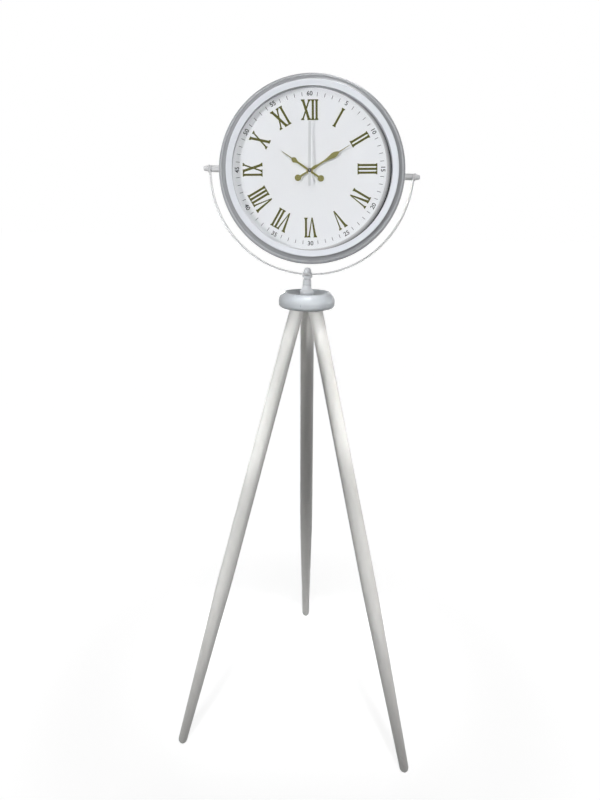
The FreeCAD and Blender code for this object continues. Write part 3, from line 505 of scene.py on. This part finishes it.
def dial_paper():
    """Printed paper: cool white with faint fibres."""
    finish = Finish("dial_paper", (0.845, 0.86, 0.88), 0.62, specular=0.3)
    finish.tint(finish.ramp(finish.noise(4.0, 3.0), 0.40, 0.70), (0.78, 0.795, 0.84), 0.10)
    fibres = finish.noise(1.0, 5.0, finish.place(None, (1500.0, 400.0, 500.0)), 0.7)
    finish.tint(finish.ramp(fibres, 0.55, 0.75), (0.64, 0.64, 0.64), 0.06)
    finish.vary_roughness(fibres, 0.55, 0.72)
    finish.bump(fibres, 0.02)
    return finish


def gold(name, colour, roughness, metallic):
    """Old gold: brushed and a little tarnished."""
    finish = Finish(name, colour, roughness, metallic)
    finish.tint(finish.ramp(finish.noise(260.0, 5.0), 0.45, 0.75), scaled(colour, 0.45), 0.45)
    finish.tint(finish.edges(0.4), scaled(colour, 1.5), 0.5)
    finish.vary_roughness(finish.noise(1400.0, 3.0), roughness - 0.08, roughness + 0.14)
    finish.bump(finish.noise(1800.0, 2.0), 0.01)
    return finish


def print_ink():
    """Grey ink of the minute track, a little uneven."""
    finish = Finish("print_ink", (0.09, 0.095, 0.10), 0.7, specular=0.2)
    finish.tint(finish.ramp(finish.noise(900.0, 4.0), 0.45, 0.75), (0.18, 0.18, 0.19), 0.6)
    finish.vary_roughness(finish.noise(700.0, 3.0), 0.6, 0.8)
    return finish


def silver_hand():
    """Pale silver strip; its cap is dark with a bright middle."""
    finish = Finish("silver_hand", (0.68, 0.70, 0.71), 0.4, 0.15)
    brushed = finish.noise(1.0, 4.0, finish.place(None, (2500.0, 2500.0, 30.0)))
    finish.tint(finish.ramp(brushed, 0.45, 0.7), (0.54, 0.55, 0.56), 0.3)
    cap = DIAL @ Vector((0.0, 0.0, CAP_HEIGHT * MM))
    finish.tint(finish.near(cap, *CAP_RADII), (0.055, 0.048, 0.038))
    finish.tint(finish.near(cap, *CAP_MIDDLE), (0.80, 0.76, 0.62))
    finish.vary_roughness(brushed, 0.3, 0.5)
    finish.bump(brushed, 0.006)
    return finish


def clear_glass():
    """Thin clear glass, seen by its faint sheen and dust."""
    finish = Finish("clear_glass", (0.02, 0.022, 0.022), 0.03)
    finish.vary_roughness(finish.noise(30.0, 5.0), 0.01, 0.08)
    finish.tint(finish.ramp(finish.noise(420.0, 6.0, None, 0.7), 0.60, 0.85), (0.7, 0.7, 0.7), 0.5)
    finish.shader.inputs["Alpha"].default_value = 0.06
    return finish


def dark_felt():
    """Black felt: soft matt fibres. Its black paints the shade in the crescent between the dial's edge and
    the bezel, and a painted half-shadow fades from pale grey at the edge of the dial's disc.
    """
    finish = Finish("dark_felt", (0.016, 0.016, 0.018), 0.95, specular=0.15)
    fibres = finish.noise(1600.0, 6.0, None, 0.75)
    finish.tint(finish.ramp(fibres, 0.5, 0.8), (0.05, 0.05, 0.052), 0.6)
    # Painted half-shadow: pale grey along the dial's edge, fading into the black.
    finish.tint(finish.near(middle("dial"), *FELT_HALF_SHADOW), (0.62, 0.62, 0.63))
    finish.vary_roughness(fibres, 0.88, 1.0)
    finish.bump(fibres, 0.12)
    return finish


def plastic(name, colour, roughness, grain=900.0):
    """Moulded plastic with a fine spark-eroded grain."""
    finish = Finish(name, colour, roughness)
    pale = tuple(min(1.0, channel * 1.25 + 0.015) for channel in colour)
    finish.tint(finish.ramp(finish.noise(25.0, 5.0), 0.45, 0.75), pale, 0.4)
    finish.tint(finish.edges(0.5), pale, 0.35)
    finish.vary_roughness(finish.noise(180.0, 4.0), roughness - 0.1, roughness + 0.12)
    finish.bump(finish.noise(grain, 3.0), 0.03)
    return finish


def bare_metal(name, colour, roughness):
    """Plated or plain metal with a fine grain and dull patches."""
    finish = Finish(name, colour, roughness, 1.0)
    finish.tint(finish.ramp(finish.noise(120.0, 6.0), 0.45, 0.72), scaled(colour, 0.6), 0.5)
    finish.vary_roughness(finish.noise(300.0, 5.0), roughness - 0.08, roughness + 0.18)
    finish.bump(finish.noise(1200.0, 3.0), 0.01)
    return finish


def stand_and_head_finishes():
    """Finishes of what shows from outside."""
    pivot_paint = painted("pivot_paint", (0.60, 0.605, 0.615), 0.34, (0.50, 0.49, 0.47))
    groups = {
        painted("white_metal", (0.74, 0.76, 0.785), 0.34): ["post", "finial", "case_drum", "back_cover"],
        painted("yoke_paint", (0.62, 0.625, 0.635), 0.34, (0.52, 0.51, 0.49)): ["yoke"],
        pivot_paint: ["pivot_spacers", "pivot_knobs"],
        painted("bezel_paint", (0.63, 0.65, 0.69), 0.34, (0.55, 0.57, 0.60)): ["bezel", "spacer_ring"],
        hub_paint(): ["hub"],
        ring_metal(): ["case_ring"],
        clear_glass(): ["glass"],
        dark_felt(): ["dial_felt"],
        dial_paper(): ["dial"],
        gold("gold_hands", (0.285, 0.27, 0.095), 0.42, 0.40): ["hour_hand", "minute_hand"],
        silver_hand(): ["second_hand"],
    }
    for name in ("leg_left", "leg_right", "leg_rear"):
        groups[painted_leg(name + "_paint", leg_direction(name))] = [name]
    return groups


def inner_finishes():
    """Finishes of the fasteners and the movement."""
    steel = bare_metal("zinc_steel", (0.60, 0.61, 0.63), 0.34)
    brass = bare_metal("plain_brass", (0.66, 0.50, 0.24), 0.34)
    black = plastic("black_plastic", (0.022, 0.022, 0.024), 0.5)
    acetal = plastic("gear_plastic", (0.78, 0.77, 0.70), 0.35, 1600.0)
    return {
        steel: ["leg_bolts", "post_stud", "yoke_stud", "yoke_washers", "pivot_washers", "pivot_studs",
                "pivot_nuts", "back_screws", "stator", "battery_contacts", "crystal"],
        brass: ["leg_inserts", "post_insert", "movement_nut", "hand_nut"],
        black: ["movement_front", "movement_back", "set_knob", "coil_bobbin"],
        acetal: ["step_wheel", "second_wheel", "third_wheel", "minute_wheel", "motion_wheel", "hour_wheel",
                 "middle_plate"],
        bare_metal("magnet_steel", (0.22, 0.22, 0.24), 0.45): ["rotor"],
        bare_metal("copper_wire", (0.60, 0.26, 0.13), 0.4): ["coil_winding"],
        plastic("board_green", (0.03, 0.16, 0.07), 0.45): ["circuit_board"],
        plastic("cell_jacket", (0.06, 0.07, 0.085), 0.32): ["battery"],
        plastic("black_rubber", (0.02, 0.02, 0.02), 0.75): ["movement_washer"],
    }


def dress_nodes(groups):
    """Gives each node its finish."""
    for finish, names in groups.items():
        for name in names:
            materials = NODES[name].data.materials
            materials.clear()
            materials.append(finish.material)


# Dial print: strokes are outlines in millimetres, Y away from the centre of the dial

def serif(x, end, width, stem):
    """Flat foot across the end of a stroke, with small brackets to the stem."""
    inward = -1.0 if end > 0 else 1.0
    half = width / 2
    half_stem = stem / 2
    edge = end + inward * SERIF * 0.7
    root = end + inward * SERIF * 2.2
    return [(x - half, end), (x + half, end), (x + half, edge), (x + half_stem, root), (x - half_stem, root),
            (x - half, edge)]


def stroke(x_top, x_bottom, width, half, foot):
    """Straight stroke from the top line to the bottom line, level at both ends."""
    side = width / 2
    low = side * foot
    return [(x_top - side, half), (x_top + side, half), (x_bottom + low, -half), (x_bottom - low, -half)]


def glyph(letter, x, half):
    """Strokes and serifs of one letter centred on x."""
    stems = [stroke(x + top, x + bottom, width, half, foot) for top, bottom, width, foot in STROKES[letter]]
    feet = [serif(x + place, end * half, width, stem) for place, end, width, stem in SERIFS[letter]]
    return stems + feet


def numeral(word):
    """Outlines of a roman numeral centred on its own middle."""
    half = (NUMERAL_OUTER - NUMERAL_INNER) / 2
    x = -sum(GLYPH_WIDTH[letter] for letter in word) / 2
    outlines = []
    for letter in word:
        outlines += glyph(letter, x + GLYPH_WIDTH[letter] / 2, half)
        x += GLYPH_WIDTH[letter]
    return outlines


def round_dial(minute, radius):
    """Frame on the dial at a minute and radius, with Y away from the centre."""
    turn = Matrix.Rotation(-math.radians(DEGREES_PER_MINUTE * minute), 4, "Z")
    return turn @ Matrix.Translation((0.0, radius * MM, 0.0))


def raise_outline(mesh, outline, matrix, top):
    """Adds a thin prism standing on the dial."""
    low = [mesh.verts.new(matrix @ Vector((x * MM, y * MM, PRINT_LIFT * MM))) for x, y in outline]
    high = [mesh.verts.new(matrix @ Vector((x * MM, y * MM, top * MM))) for x, y in outline]
    mesh.faces.new(high)
    for k in range(len(outline)):
        n = (k + 1) % len(outline)
        mesh.faces.new((low[k], low[n], high[n], high[k]))


def add_print(name, mesh, finish):
    """Makes a piece of the head from printed outlines."""
    bmesh.ops.recalc_face_normals(mesh, faces=mesh.faces)
    data = bpy.data.meshes.new(name)
    mesh.to_mesh(data)
    mesh.free()
    data.materials.append(finish.material)
    piece = bpy.data.objects.new(name, data)
    bpy.context.scene.collection.objects.link(piece)
    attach(piece, "head")


def add_numerals():
    """Roman hours. Strokes that cross differ a little in thickness, so that no two faces coincide."""
    mesh = bmesh.new()
    for hour, word in enumerate(ROMAN):
        place = PRINT @ round_dial(5 * hour, (NUMERAL_INNER + NUMERAL_OUTER) / 2)
        for k, outline in enumerate(numeral(word)):
            raise_outline(mesh, outline, place, PRINT_THICKNESS + LAYER_STEP * k)
    add_print("roman_numerals", mesh, gold("numeral_gold", (0.105, 0.104, 0.020), 0.45, 0.25))


def add_digits(mesh, text, matrix):
    """Flat plain figures at the print's thickness, from the built-in font."""
    curve = bpy.data.curves.new("figure", "FONT")
    curve.body = text
    curve.align_x = "CENTER"
    curve.offset = DIGIT_WEIGHT
    curve.resolution_u = 6
    figure = bpy.data.objects.new("figure", curve)
    bpy.context.scene.collection.objects.link(figure)
    bpy.context.view_layer.update()
    flat = bpy.data.meshes.new_from_object(figure.evaluated_get(bpy.context.evaluated_depsgraph_get()))
    heights = [v.co.y for v in flat.vertices]
    scale = DIGIT_HEIGHT * MM / (max(heights) - min(heights))
    centre = (max(heights) + min(heights)) / 2
    flat.transform(Matrix.Scale(scale, 4) @ Matrix.Translation((0.0, -centre, 0.0)))
    flat.transform(matrix @ Matrix.Translation((0.0, 0.0, PRINT_THICKNESS * MM)))
    mesh.from_mesh(flat)
    bpy.data.objects.remove(figure)
    bpy.data.curves.remove(curve)
    bpy.data.meshes.remove(flat)


def add_minute_track():
    """A tick at each minute and a figure at each fifth, turned in the lower half to be read upright."""
    mesh = bmesh.new()
    half = TICK_LENGTH / 2
    side = TICK_WIDTH / 2
    tick = [(-side, -half), (side, -half), (side, half), (-side, half)]
    for minute in range(1, 61):
        if minute % 5:
            raise_outline(mesh, tick, PRINT @ round_dial(minute, TRACK_RADIUS), PRINT_THICKNESS)
        else:
            upright = Matrix.Rotation(math.pi if minute in TURNED_FIGURES else 0.0, 4, "Z")
            add_digits(mesh, str(minute), PRINT @ round_dial(minute, DIGIT_RADIUS) @ upright)
    add_print("minute_track", mesh, print_ink())


bpy.context.scene.view_settings.view_transform = "Standard"
add_camera()
add_world()
add_floor()
light_head()
light_legs()
light_sides_and_back()
dress_nodes(stand_and_head_finishes())
dress_nodes(inner_finishes())
add_numerals()
add_minute_track()
